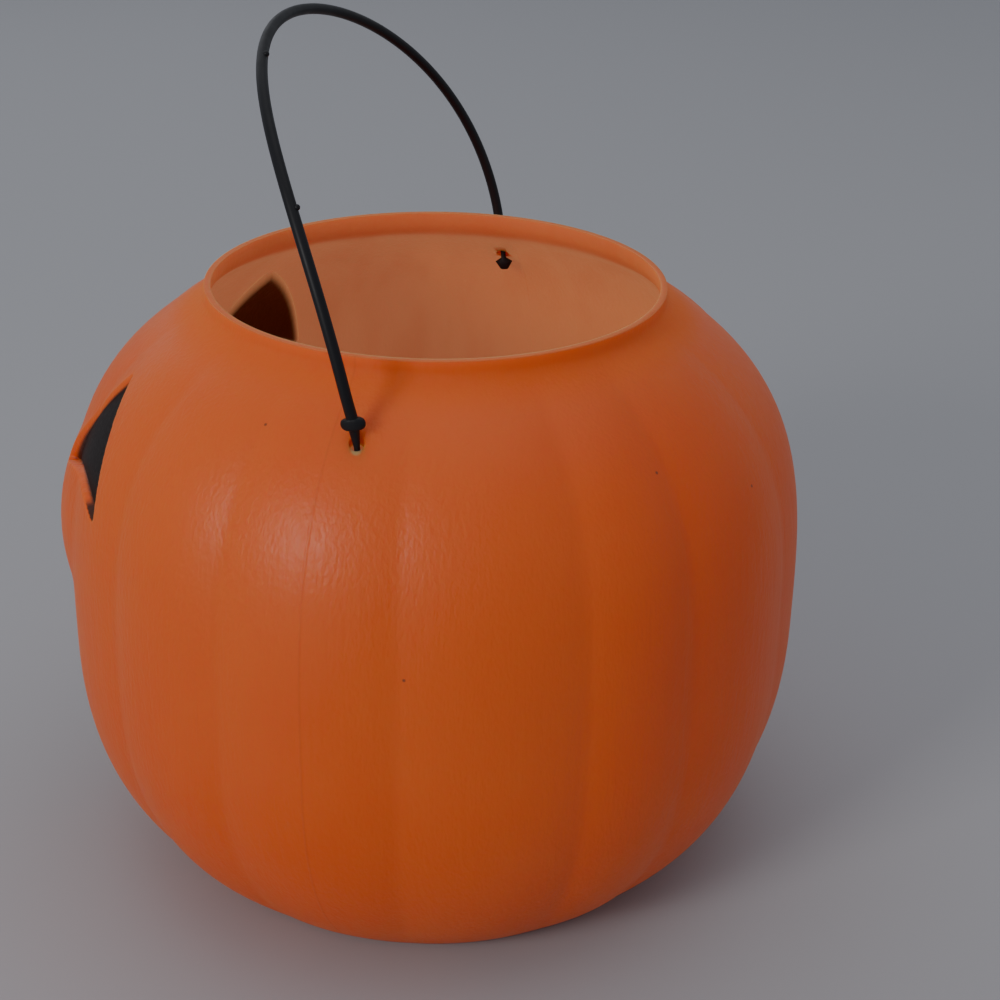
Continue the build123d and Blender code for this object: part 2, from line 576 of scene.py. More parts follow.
@dataclass(frozen=True)
class MouldedShell:
    """Translucent orange plastic with a fine orange-peel skin and pale cut edges."""

    colour: Rgba = (0.78, 0.135, 0.013, 1)
    deep_colour: Rgba = (0.76, 0.110, 0.008, 1)
    cloud_cells: Point3 = (14, 14, 9)
    cloud_range: Point2 = (0.35, 0.7)
    cloud_roughness: float = 0.08
    inside_colour: Rgba = (0.70, 0.19, 0.042, 1)
    # Painted glow: emission on the inside stands in for light that shines through the translucent wall.
    painted_glow_colour: Rgba = (0.30, 0.225, 0.11, 1)
    painted_glow: float = 0.40
    painted_glow_low: float = 0.0
    painted_glow_high: float = 0.13
    painted_glow_cells: Point3 = (70, 70, 5)
    painted_glow_least: float = 0.7
    painted_glow_change: float = 0.6
    lip_band: float = 0.006
    lip_fade: float = 0.004
    lip_lining: float = 0.4
    lip_dullness: float = 0.3
    cut_colour: Rgba = (0.60, 0.13, 0.035, 1)
    cut_height: float = 0.0006
    # Pale spot by each handle hole: partly stress whitening, partly a painted highlight of the hole's lit
    # lower edge.
    whitening_and_highlight_colour: Rgba = (0.84, 0.34, 0.13, 1)
    whitening_and_highlight_reach: float = 0.0017
    whitening_and_highlight: float = 0.8
    shadow_colour: Rgba = (0.11, 0.022, 0.004, 1)
    stain_radius: float = 0.0075
    stain_margin: Point2 = (-0.0014, -0.0010)
    speck_colour: Rgba = (0.22, 0.05, 0.02, 1)
    speck_radius: float = 0.0006
    roughness: float = 0.45
    gloss: float = 0.38
    scatter_weight: float = 1.0
    scatter_depth: float = 0.006
    scatter_colour: Point3 = (1.0, 0.45, 0.2)
    peel_pitch: float = 0.0010
    peel_stretch: float = 0.45
    peel_depth: float = 0.00014
    streak_pitch: float = 0.0020
    streak_stretch: float = 0.06
    streak_height: float = 0.9
    streak_roughness: float = 0.16
    seam_turn: float = 1.1
    seam_width: float = 0.0006
    seam_height: float = 0.45
    seam_shade: float = 0.10
    paint_blur: float = 0.0017
    overspray: float = 0.0006
    overspray_lap: float = 0.0001
    fringe_colour: Rgba = (0.06, 0.012, 0.004, 1)

    def material(self, marks: SkinMarks) -> bpy.types.Material:
        """Builds the material.

        Args:
            marks: Places on the pail that the plastic shows.

        Returns:
            The finished material.
        """
        shader = Shader("orange_plastic")
        coordinates, across_x, along_y, up = shader.place()
        seam_slope = math.tan(math.radians(self.seam_turn))
        seam = abs(along_y + across_x * seam_slope).ramp(self.seam_width, 0)
        cloud = shader.noise(coordinates, self.cloud_cells, 3)
        fine = 1 / self.peel_pitch
        peel = shader.noise(coordinates, (fine, fine, fine * self.peel_stretch), 1)
        across = 1 / self.streak_pitch
        streak = shader.noise(coordinates, (across, across, across * self.streak_stretch), 2)
        # Streaky patches of the painted glow.
        painted_glow_streaks = shader.noise(coordinates, self.painted_glow_cells, 2)
        margin = shader.attribute("paint_margin")
        inner = shader.attribute("inner_side")
        rim = marks.lip_top
        below_lip = up.ramp(rim - self.lip_band, rim - self.lip_band - self.lip_fade)
        lining = inner * (self.lip_lining + (1 - self.lip_lining) * below_lip)
        behind = margin.ramp(-self.paint_blur, self.paint_blur) * inner
        fringe = margin.ramp(-self.overspray, self.overspray_lap) * (1 - inner)
        sunk = margin.ramp(*self.stain_margin)
        colour = shader.mix(cloud.ramp(*self.cloud_range), self.colour, self.deep_colour)
        colour = shader.mix(lining, colour, self.inside_colour)
        colour = shader.mix(up.ramp(rim - self.cut_height, rim), colour, self.cut_colour)
        colour = shader.mix(self.seam_shade * seam * (1 - inner), colour, self.speck_colour)
        # Pale spot by each hole: stress whitening and a painted highlight of the hole's lit lower edge.
        for place in marks.punched_holes:
            whitened_and_lit = shader.near(coordinates, place).ramp(self.whitening_and_highlight_reach, self.whitening_and_highlight_reach / 2)
            colour = shader.mix(self.whitening_and_highlight * whitened_and_lit, colour, self.whitening_and_highlight_colour)
        colour = shader.mix(behind, colour, self.shadow_colour)
        colour = shader.mix(fringe, colour, self.fringe_colour)
        for place in marks.paint_stains:
            stain = shader.near(coordinates, place).ramp(self.stain_radius, self.stain_radius / 2)
            colour = shader.mix(stain * sunk * (1 - inner), colour, self.fringe_colour)
        for place in marks.specks:
            speck = shader.near(coordinates, place).ramp(self.speck_radius, self.speck_radius / 3)
            colour = shader.mix(speck, colour, self.speck_colour)
        unlit = (0, 0, 0, 1)
        # Painted glow on the inside: light through the wall, painted as emission, fading towards the base, in
        # streaky patches and kept dark behind the paint.
        lit = up.ramp(self.painted_glow_low, self.painted_glow_high)
        painted_glow_patches = self.painted_glow_least + self.painted_glow_change * painted_glow_streaks
        painted_glow = shader.mix(lining * lit * painted_glow_patches, unlit, self.painted_glow_colour)
        painted_glow = shader.mix(behind, painted_glow, unlit)
        dull = self.lip_dullness * up.ramp(rim - 2 * self.lip_band, rim - self.lip_band)
        streaky = self.streak_roughness * (streak - NOISE_MIDDLE)
        cloudy = self.cloud_roughness * (cloud - NOISE_MIDDLE)
        relief = peel + self.streak_height * streak + self.seam_height * seam
        return shader.surface(
            Base_Color=colour,
            Roughness=self.roughness + dull + streaky + cloudy,
            Normal=shader.bump(relief, self.peel_depth),
            Subsurface_Weight=self.scatter_weight,
            Subsurface_Scale=self.scatter_depth,
            Subsurface_Radius=self.scatter_colour,
            Specular_IOR_Level=self.gloss,
            Emission_Color=painted_glow,
            Emission_Strength=self.painted_glow,
        )


@dataclass(frozen=True)
class SprayPaint:
    """Black paint sprayed through a mask."""

    colour: Rgba = (0.012, 0.0075, 0.0065, 1)
    roughness: float = 0.6
    gloss: float = 0.22
    grain_cells: Point3 = (900, 900, 900)
    grain_roughness: float = 0.2
    grain_depth: float = 0.00003

    def material(self) -> bpy.types.Material:
        """Builds the material.

        Returns:
            The finished material.
        """
        shader = Shader("black_paint")
        coordinates = shader.place()[0]
        grain = shader.noise(coordinates, self.grain_cells, 2)
        return shader.surface(
            Base_Color=self.colour,
            Specular_IOR_Level=self.gloss,
            Roughness=self.roughness + self.grain_roughness * (grain - NOISE_MIDDLE),
            Normal=shader.bump(grain, self.grain_depth),
        )


@dataclass(frozen=True)
class BlackPlastic:
    """Black injection-moulded plastic with a soft gloss."""

    colour: Rgba = (0.006, 0.006, 0.008, 1)
    roughness: float = 0.48
    gloss: float = 0.28
    wear_cells: Point3 = (260, 260, 260)
    wear_roughness: float = 0.18
    wear_depth: float = 0.00002

    def material(self) -> bpy.types.Material:
        """Builds the material.

        Returns:
            The finished material.
        """
        shader = Shader("black_plastic")
        coordinates = shader.place()[0]
        wear = shader.noise(coordinates, self.wear_cells, 3)
        return shader.surface(
            Base_Color=self.colour,
            Specular_IOR_Level=self.gloss,
            Roughness=self.roughness + self.wear_roughness * (wear - NOISE_MIDDLE),
            Normal=shader.bump(wear, self.wear_depth),
        )


# Pail body


@dataclass
class PailBody:
    """Blow-moulded shell with ribs, cheeks, a sunk face and two handle holes. Metres and degrees."""

    belly_radius: float = 0.1075
    belly_height: float = 0.0775
    base_radius: float = 0.07325
    base_rounding: float = 0.0016
    # Shares of that rounding
    foot_middle: Point2 = (0.2, 0.12)
    foot_top: float = 0.6
    shoulder_height: float = 0.1702
    neck_radius: float = 0.0655
    lip_radius: float = 0.065
    lip_height: float = 0.005
    lower_roundness: float = 2.4
    upper_roundness: float = 3.4
    wall: float = 0.0018
    lip_rounding: float = 0.0005
    lip_steps: int = 2
    neck_blend: float = 0.005
    neck_steps: int = 9
    dome_radius: float = 0.056
    dome_rise: float = 0.0035
    dome_shares: tuple[float, ...] = (0, 0.3, 0.6, 0.85, 1)
    columns: int = 360
    side_steps: int = 64
    slope_step: float = 0.0002
    crease: float = 60

    groove_turns: tuple[float, ...] = (-90, -62, -37, -15, 12, 39, 57, 85)
    groove_depth: float = 0.0016
    groove_fade: float = 6

    face_azimuth: float = -90
    cheek_turn: float = 24.9
    cheek_height: float = 0.1055
    cheek_radius: float = 0.054
    cheek_rise: float = 0.0019
    cheek_blend: float = 0.0006
    eye_turn: float = 33.4
    eye_height: float = 0.1349
    eye_width: float = 0.0405
    eye_rise: float = 0.0342
    eye_lean: float = 0.0012
    eye_bulge: float = 0.0035
    eye_lift: float = 0.0045
    eye_steps: int = 9
    nose_height: float = 0.103
    nose_width: float = 0.024
    nose_rise: float = 0.021
    mouth_width: float = 0.092
    mouth_corner_height: float = 0.076
    mouth_upper_drop: float = 0.020
    mouth_lower_drop: float = 0.043
    mouth_steps: int = 10
    tooth_width: float = 0.012
    tooth_length: float = 0.009
    upper_tooth_spacing: float = 0.036
    face_depth: float = 0.0024
    face_reach: float = 0.020
    face_corner: float = 0.0003
    face_corner_steps: int = 3
    face_slope_run: float = 0.0013
    face_cuts: int = 3
    paint_thickness: float = 0.0002
    paint_lift: float = 0.00005
    film_end: float = 0.001
    film_crease: float = 38

    speck_places: tuple[Point3, ...] = (
        (0.0790, -0.0207, 0.1600),
        (0.0530, 0.0759, 0.1488),
        (0.0264, 0.0966, 0.1361),
        (0.1041, 0.0242, 0.1064),
    )
    # Shifts of the pale hole spots, stress whitening with a painted highlight, downward and aside from the
    # holes' middles.
    whitening_and_highlight_shifts: tuple[Point3, ...] = (
        (0.0012, 0.0003, -0.0008),
        (0.0004, -0.0018, -0.0012),
    )
    hole_radius: float = HOLE_RADIUS
    hole_diameter: float = 0.0033
    hole_stretch: float = 1.24
    hole_sides: int = 32
    drill_length: float = 0.02
    shell: bpy.types.Object = field(init=False)
    films: dict[str, bpy.types.Object] = field(init=False, default_factory=dict)

    @property
    def lip_top(self) -> float:
        """Height of the lip's cut edge."""
        return self.shoulder_height + self.lip_height

    def radius_at(self, height: np.ndarray | float) -> np.ndarray:
        """Finds the outer radius of the plain body.

        Args:
            height: One height or many.

        Returns:
            The radii.
        """
        height = np.asarray(height, float)
        low = np.clip((self.belly_height - height) / self.belly_height, 0, 1)
        rise = self.shoulder_height - self.belly_height
        high = np.clip((height - self.belly_height) / rise, 0, 1)
        belly = self.belly_radius**2
        drop_low = (belly - self.base_radius**2) * low**self.lower_roundness
        drop_high = (belly - self.neck_radius**2) * high**self.upper_roundness
        return np.sqrt(belly - drop_low - drop_high)

    def slope_at(self, height: np.ndarray | float) -> np.ndarray:
        """Change of the outer radius for each metre of height."""
        step = self.slope_step
        return (self.radius_at(height + step) - self.radius_at(height - step)) / (2 * step)

    def depth_below_skin(self, points: np.ndarray) -> np.ndarray:
        """Finds how deep points lie below the plain body's skin.

        Args:
            points: Places, one row each.

        Returns:
            The depths, square to the skin.
        """
        radius = np.hypot(points[:, 0], points[:, 1])
        tilt = np.sqrt(1 + self.slope_at(points[:, 2]) ** 2)
        return (self.radius_at(points[:, 2]) - radius) / tilt

    def outer_outline(self) -> list[Point2]:
        """Draws the outline of the closed outside.

        Returns:
            Points of radius and height, from the middle of the base to the middle of the lip's top.
        """
        dome = []
        for share in self.dome_shares:
            dome.append((self.dome_radius * share, self.dome_rise * (1 - share**2)))
        round_off = self.base_rounding
        inset, rise = self.foot_middle
        foot = [
            (self.base_radius - round_off, 0),
            (self.base_radius - inset * round_off, rise * round_off),
        ]
        heights = np.linspace(self.foot_top * round_off, self.shoulder_height, self.side_steps)
        side = [(float(self.radius_at(height)), float(height)) for height in heights]
        return [*dome, *foot, *self.neck_curve(side), (self.lip_radius, self.lip_top), (0, self.lip_top)]

    def neck_curve(self, side: list[Point2]) -> list[Point2]:
        """Runs the shoulder in a soft curve up into the lip.

        Args:
            side: Points up the side of the body.

        Returns:
            The side with that curve at its top.
        """
        reach = self.neck_blend
        kept = [(radius, height) for radius, height in side if radius > self.lip_radius + reach]
        start = np.array(kept[-1])
        corner = np.array((self.lip_radius, self.shoulder_height))
        end = np.array((self.lip_radius, min(self.shoulder_height + reach / 2, self.lip_top)))
        blend = []
        for share in np.linspace(0, 1, self.neck_steps)[1:]:
            spot = (1 - share) ** 2 * start + 2 * share * (1 - share) * corner + share**2 * end
            blend.append((float(spot[0]), float(spot[1])))
        return [*kept, *blend]

    def inset_outline(self, inset: float) -> list[Point2]:
        """Draws the outline of the closed plain body with its skin set in.

        Args:
            inset: Distance, square to the skin.

        Returns:
            Points of radius and height.
        """
        heights = np.linspace(self.film_end, self.shoulder_height - self.film_end, self.side_steps)
        skin = self.radius_at(heights) - inset * np.sqrt(1 + self.slope_at(heights) ** 2)
        side = [(float(radius), float(height)) for radius, height in zip(skin, heights)]
        return [(0, side[0][1]), *side, (0, side[-1][1])]

    def grooves_around(self) -> np.ndarray:
        """Turns of all the grooves from +X, with the first again at the end."""
        mirrored = [180 - groove for groove in reversed(self.groove_turns[1:-1])]
        return np.array([*self.groove_turns, *mirrored, self.groove_turns[0] + 360], float)

    def groove_shares(self, points: np.ndarray) -> np.ndarray:
        """Finds how far the skin sinks into the grooves.

        Args:
            points: Places, one row each.

        Returns:
            Shares of the groove depth, 0 on a rib's crest, fading at base and shoulder.
        """
        azimuth = np.degrees(np.arctan2(points[:, 1], points[:, 0]))
        grooves = self.grooves_around()
        turn = np.where(azimuth < grooves[0], azimuth + 360, azimuth)
        rib = np.clip(np.searchsorted(grooves, turn) - 1, 0, len(grooves) - 2)
        share = (turn - grooves[rib]) / (grooves[rib + 1] - grooves[rib])
        fade = 1 - np.abs(np.clip(2 * points[:, 2] / self.shoulder_height - 1, -1, 1)) ** self.groove_fade
        return (2 * share - 1) ** 2 * fade

    def cheek_shares(self, points: np.ndarray) -> np.ndarray:
        """Finds how far the cheeks lift the skin.

        Args:
            points: Places, one row each.

        Returns:
            Shares of the cheeks' largest rise.
        """
        azimuth = np.degrees(np.arctan2(points[:, 1], points[:, 0]))
        middle = float(self.radius_at(self.cheek_height)) + self.cheek_rise - self.cheek_radius
        skin = np.hypot(points[:, 0], points[:, 1])
        rise = np.full(len(points), -self.cheek_radius)
        for side in (-1, 1):
            turn = np.radians(azimuth - self.face_azimuth - side * self.cheek_turn)
            room = self.cheek_radius**2 - (points[:, 2] - self.cheek_height) ** 2
            room = room - (middle * np.sin(turn)) ** 2
            reach = middle * np.cos(turn) + np.sqrt(np.clip(room, 0, None))
            rise = np.maximum(rise, np.where(room > 0, reach - skin, -self.cheek_radius))
        blend = np.clip(rise + self.cheek_blend, 0, None) ** 2 / (4 * self.cheek_blend)
        return np.clip(np.where(rise > self.cheek_blend, rise, blend) / self.cheek_bulge, 0, 1)

    @property
    def cheek_bulge(self) -> float:
        """Largest rise of a cheek over the grooved skin."""
        return self.cheek_rise + self.groove_depth

    def face_plane(self, turn: float, height: float) -> Matrix:
        """Lays a plane against the plain body's skin.

        Args:
            turn: Degrees from the middle of the face.
            height: Height where it touches.

        Returns:
            The plane, with its normal outward as the third axis.
        """
        azimuth = math.radians(self.face_azimuth + turn)
        around = Vector((math.cos(azimuth), math.sin(azimuth), 0))
        across = Vector((-math.sin(azimuth), math.cos(azimuth), 0))
        outward = (around - Vector((0, 0, float(self.slope_at(height))))).normalized()
        origin = around * float(self.radius_at(height)) + Vector((0, 0, height))
        rows = Matrix((across, outward.cross(across), outward)).transposed().to_4x4()
        return Matrix.Translation(origin) @ rows

    def nose_outline(self) -> list[Point2]:
        """Corners of the nose about its middle."""
        low = -self.nose_rise / 3
        return [(-self.nose_width / 2, low), (self.nose_width / 2, low), (0, low + self.nose_rise)]

    def eye_outline(self, side: int) -> list[Point2]:
        """Draws one eye, with its outer edge bulged and its lower edge lifted by the cheek.

        Args:
            side: 1 for the pail's left eye and -1 for its right.

        Returns:
            Corners about the eye's middle.
        """
        low = -self.eye_rise / 3
        inner = Vector((-side * self.eye_width / 2, low))
        outer = Vector((side * self.eye_width / 2, low))
        point = Vector((side * self.eye_lean, low + self.eye_rise))
        return [
            *self.bowed_edge(inner, outer, -side * self.eye_lift),
            *self.bowed_edge(outer, point, side * self.eye_bulge),
            tuple(point),
        ]

    def bowed_edge(self, start: Vector, end: Vector, swell: float) -> list[Point2]:
        """Draws an edge that bows out to its right.

        Args:
            start: First corner.
            end: Last corner.
            swell: Bow at the middle of the edge.

        Returns:
            Points along the edge, without its last corner.
        """
        edge = end - start
        outward = Vector((edge.y, -edge.x)).normalized()
        shares = np.linspace(0, 1, self.eye_steps)[:-1]
        points = []
        for share in shares:
            bow = outward * swell * 4 * share * (1 - share)
            points.append(tuple(start + edge * share + bow))
        return points

    def arc_height(self, across: float, drop: float) -> float:
        """Finds the height of a mouth curve.

        Args:
            across: Place across the mouth.
            drop: Fall from the corners to the middle.

        Returns:
            The height.
        """
        half = self.mouth_width / 2
        radius = (half**2 + drop**2) / (2 * drop)
        return self.mouth_corner_height - drop + radius - math.sqrt(radius**2 - across**2)

    def mouth_curve(self, start: float, end: float, drop: float) -> list[Point2]:
        """Points along a mouth curve from one place across the mouth to another."""
        places = np.linspace(start, end, self.mouth_steps)
        return [(float(across), self.arc_height(across, drop)) for across in places]

    def mouth_outline(self) -> list[Point2]:
        """Draws the toothed grin.

        Returns:
            Corners from one end along the lower curve and back along the upper.
        """
        half = self.mouth_width / 2
        tooth = self.tooth_width / 2
        low, high = self.mouth_lower_drop, self.mouth_upper_drop
        floor = self.arc_height(0, low) + self.tooth_length
        ceiling = self.arc_height(0, high) - self.tooth_length
        teeth = [side * self.upper_tooth_spacing / 2 for side in (1, -1)]
        lower = self.mouth_curve(-half, -tooth, low)
        lower += [(-tooth, floor), (tooth, floor)]
        lower += self.mouth_curve(tooth, half, low)
        upper = []
        start = half
        for middle in teeth:
            upper += self.mouth_curve(start, middle + tooth, high)[1:]
            upper += [(middle + tooth, ceiling), (middle - tooth, ceiling)]
            upper.append((middle - tooth, self.arc_height(middle - tooth, high)))
            start = middle - tooth
        upper += self.mouth_curve(start, -half, high)[1:-1]
        return lower + upper

    def face_features(self) -> dict[str, tuple[list[Point2], Matrix]]:
        """Lays out the sunk parts of the face.

        Returns:
            Outlines and planes of the mouth, the nose and the two eyes.
        """
        front = self.face_plane(0, self.belly_height)
        front.translation.z = 0
        return {
            "mouth": (self.mouth_outline(), front),
            "nose": (self.nose_outline(), self.face_plane(0, self.nose_height)),
            "left_eye": (self.eye_outline(1), self.face_plane(self.eye_turn, self.eye_height)),
            "right_eye": (self.eye_outline(-1), self.face_plane(-self.eye_turn, self.eye_height)),
        }

    def face_margin(self, points: np.ndarray) -> np.ndarray:
        """Distances of points from the edge of the nearest face feature, positive inside it."""
        features = self.face_features().values()
        return np.max([inside_margin(points, outline, plane) for outline, plane in features], axis=0)

    def sunk_shares(self, points: np.ndarray) -> np.ndarray:
        """Shares of the deepest sinking that bring the face features to one depth below the plain skin."""
        share = smoothstep(-self.face_slope_run, 0, self.face_margin(points))
        return np.clip(share * (self.face_depth - self.depth_below_skin(points)) / self.deepest_sinking, 0, 1)

    @property
    def deepest_sinking(self) -> float:
        """Farthest way from the skin to the floor of the sunk face."""
        return self.face_depth + self.cheek_rise

    def build(self) -> None:
        """Models the shell and the paint on its sunk face."""
        shell = lathe("pail_body", self.outer_outline(), self.columns)
        displace(shell, "grooves", self.groove_shares, -self.groove_depth)
        displace(shell, "cheeks", self.cheek_shares, self.cheek_bulge)
        self.sink_face(shell)
        shell.vertex_groups.clear()
        select_faces(shell, face_centres(shell)[:, 2] > self.lip_top - HAIR)
        bpy.ops.mesh.delete(type="FACE")
        close_edit()
        shell.vertex_groups.new(name="inside")
        apply_modifier(
            shell,
            "SOLIDIFY",
            thickness=self.wall,
            offset=-1,
            use_even_offset=False,
            shell_vertex_group="inside",
        )
        round_edges(shell, self.crease, self.lip_rounding, self.lip_steps)
        self.drill(shell)
        self.shell = shell
        self.spray_face()

    def sink_face(self, shell: bpy.types.Object) -> None:
        """Sinks the eyes, the nose and the mouth, with sloping walls and soft edges.

        Args:
            shell: Shell before it gets its wall.
        """
        band = self.face_slope_run + math.tau * self.belly_radius / self.columns
        select_faces(shell, np.abs(self.face_margin(face_centres(shell))) < band)
        bpy.ops.mesh.subdivide(number_cuts=self.face_cuts)
        close_edit()
        displace(shell, "face", self.sunk_shares, -self.deepest_sinking)

    def spray_face(self) -> None:
        """Lays a film of paint on the floor of each face feature."""
        low = self.face_depth - self.paint_lift
        outside = lathe("film_outside", self.inset_outline(low - self.paint_thickness), self.columns)
        inside = lathe("film_inside", self.inset_outline(low), self.columns)
        for feature, (outline, plane) in self.face_features().items():
            film = outline_block(
                f"{feature}_film",
                outline,
                plane,
                self.face_reach,
                self.face_corner,
                self.face_corner_steps,
            )
            apply_modifier(film, "BOOLEAN", operation="INTERSECT", object=outside, solver="EXACT")
            apply_modifier(film, "BOOLEAN", operation="DIFFERENCE", object=inside, solver="EXACT")
            self.films[feature] = film
        discard(outside, inside)

    def drill(self, shell: bpy.types.Object) -> None:
        """Drills the two handle holes through the shoulder.

        Args:
            shell: Shell with its wall.
        """
        drills = []
        for spot in self.hole_places():
            start_clean()
            bpy.ops.mesh.primitive_cylinder_add(
                vertices=self.hole_sides,
                radius=self.hole_diameter / 2,
                depth=self.drill_length,
                location=spot,
                scale=(1, self.hole_stretch, 1),
            )
            drills.append(named("drill"))
        tool = join("drills", drills)
        settle(tool)
        apply_modifier(shell, "BOOLEAN", operation="DIFFERENCE", object=tool, solver="EXACT")
        discard(tool)

    def hole_places(self) -> list[Vector]:
        """Middles of the two handle holes in the wall."""
        reach = Vector(SWING["axis"]) * self.hole_radius
        return [Vector(SWING["pos_m"]) + reach, Vector(SWING["pos_m"]) - reach]

    def marks(self) -> SkinMarks:
        """Finds the places that the shell's finish shows.

        Returns:
            The places.
        """
        specks = [self.shell.closest_point_on_mesh(Vector(place))[1] for place in self.speck_places]
        stains = []
        for feature in ("left_eye", "right_eye"):
            outline, plane = self.face_features()[feature]
            outer_corner = plane @ Vector((*outline[self.eye_steps - 1], -self.face_depth))
            stains.append(self.shell.closest_point_on_mesh(outer_corner)[1])
        holes = [hole + Vector(shift) for hole, shift in zip(self.hole_places(), self.whitening_and_highlight_shifts)]
        return SkinMarks(self.lip_top, specks, stains, holes)

    def dress(self, plastic: MouldedShell, paint: SprayPaint) -> None:
        """Gives the shell and the films their finishes.

        Args:
            plastic: Finish of the shell.
            paint: Finish of the films.
        """
        mark(self.shell, "inner_side", group_weights(self.shell, "inside"))
        mark(self.shell, "paint_margin", self.face_margin(points_of(self.shell)))
        smooth(self.shell, self.crease)
        finish_piece(self.shell, Body.PAIL, Slot.SHELL, plastic.material(self.marks()), "pail_shell")
        black = paint.material()
        for feature, film in self.films.items():
            smooth(film, self.film_crease)
            finish_piece(film, Body.PAIL, Slot.PAINT, black, f"{feature}_paint")


# Handle


@dataclass
class Bail:
    """Moulded bail with a snap-in foot at each end. Metres and degrees."""

    rod_radius: float = 0.00149
    arch_radius: float = 0.0833
    leg_length: float = 0.0163
    hole_radius: float = HOLE_RADIUS
    foot_lean: float = 7.2
    bend_radius: float = 0.148
    collar_half: Point2 = (0.0016, 0.0033)
    collar_bottom: float = 0.0046
    collar_height: float = 0.003
    collar_steps: int = 9
    collar_fullness: float = 0.6
    neck_top_radius: float = 0.0014
    neck_radius: float = 0.0008
    barb_top: float = -0.0026
    barb_half: Point2 = (0.0012, 0.0028)
    barb_shoulder: float = 0.0012
    barb_length: float = 0.0038
    barb_tip_half: Point2 = (0.0007, 0.0012)
    foot_rounding: float = 0.0005
    foot_crease: float = 50
    foot_rounding_steps: int = 3
    nub_radius: float = 0.0008
    nub_sides: int = 16
    nub_rings: int = 10
    nub_angles: tuple[float, ...] = (31.0, 67.5)
    sides: int = 24
    arch_steps: int = 64
    leg_steps: int = 6
    crease: float = 40
    rod: bpy.types.Object = field(init=False)

    def extrude_to(self, rise: float, low: float) -> None:
        """Extrudes the open end straight down from one rise to another."""
        bpy.ops.mesh.extrude_region_move(TRANSFORM_OT_translate={"value": (0, 0, low - rise)})

    def widen(self, now: Point2, wanted: Point2, rise: float) -> None:
        """Scales the open end from one half width and half depth to another."""
        scale = (wanted[0] / now[0], wanted[1] / now[1], 1)
        bpy.ops.transform.resize(value=scale, center_override=(self.hole_radius, 0, rise))

    def build(self) -> None:
        """Models half the bail flat, mirrors it and bends it to its place."""
        start_clean()
        bpy.ops.mesh.primitive_circle_add(
            vertices=self.sides,
            radius=self.rod_radius,
            location=(self.arch_radius, 0, self.leg_length),
        )
        rod = named("bail_rod")
        settle(rod)
        edit(rod)
        bpy.ops.mesh.spin(
            steps=self.arch_steps, angle=math.pi / 2, center=(0, 0, self.leg_length), axis=(0, 1, 0)
        )
        self.draw_leg(rod)
        self.draw_foot()
        close_mesh()
        round_edges(rod, self.foot_crease, self.foot_rounding, self.foot_rounding_steps)
        apply_modifier(rod, "MIRROR", use_axis=(True, False, False), merge_threshold=HAIR)
        nubs = [self.nub(angle) for angle in self.nub_angles]
        self.rod = join("bail_rod", [rod, *nubs])
        place_points(self.rod, self.bent(points_of(self.rod)))

    def draw_leg(self, rod: bpy.types.Object) -> None:
        """Extrudes the leg from the arch's low end down to the collar.

        Args:
            rod: The arch, open in edit mode.
        """
        bpy.ops.mesh.select_all(action="DESELECT")
        close_edit()
        points = points_of(rod)
        low = np.isclose(points[:, 2], self.leg_length, atol=MERGE_DISTANCE) & (points[:, 0] > 0)
        rod.data.vertices.foreach_set("select", low)
        bpy.ops.object.mode_set(mode="EDIT")
        top = self.collar_bottom + self.collar_height
        rises = np.linspace(self.leg_length, top, self.leg_steps)
        share = (self.leg_length - rises) / (self.leg_length - top)
        across = self.arch_radius + (self.hole_radius - self.arch_radius) * share**2
        for step in range(1, self.leg_steps):
            move = (across[step] - across[step - 1], 0, rises[step] - rises[step - 1])
            bpy.ops.mesh.extrude_region_move(TRANSFORM_OT_translate={"value": move})

    def draw_foot(self) -> None:
        """Extrudes the collar, the neck and the barb below the leg."""
        neck_top = (self.neck_top_radius, self.neck_top_radius)
        neck = (self.neck_radius, self.neck_radius)
        tip = self.barb_top - self.barb_length
        self.draw_collar(neck_top)
        self.extrude_to(self.collar_bottom, 0)
        self.widen(neck_top, neck, 0)
        self.extrude_to(0, self.barb_top)
        widest = self.barb_top - self.barb_shoulder
        self.extrude_to(self.barb_top, widest)
        self.widen(neck, self.barb_half, widest)
        self.extrude_to(widest, tip)
        self.widen(self.barb_half, self.barb_tip_half, tip)
        bpy.ops.mesh.edge_face_add()

    def draw_collar(self, end: Point2) -> None:
        """Extrudes the two-lobed collar in rings from the rod's end to the neck.

        Args:
            end: Half width and half depth of the neck.
        """
        rise = self.collar_bottom + self.collar_height
        half = (self.rod_radius, self.rod_radius)
        for angle in np.linspace(0, math.pi, self.collar_steps)[1:]:
            low = self.collar_bottom + self.collar_height * (1 + math.cos(angle)) / 2
            full = max(math.sin(angle), 0) ** self.collar_fullness
            wanted = tuple(thin + (wide - thin) * full for thin, wide in zip(end, self.collar_half))
            self.extrude_to(rise, low)
            self.widen(half, wanted, low)
            rise, half = low, wanted

    def nub(self, angle: float) -> bpy.types.Object:
        """Adds a moulding nub on the back of the rod.

        Args:
            angle: Degrees up the arch.

        Returns:
            The nub.
        """
        turn = math.radians(angle)
        spot = (
            self.arch_radius * math.cos(turn),
            self.rod_radius,
            self.leg_length + self.arch_radius * math.sin(turn),
        )
        start_clean()
        bpy.ops.mesh.primitive_uv_sphere_add(
            segments=self.nub_sides,
            ring_count=self.nub_rings,
            radius=self.nub_radius,
            location=spot,
        )
        piece = named("nub")
        settle(piece)
        return piece

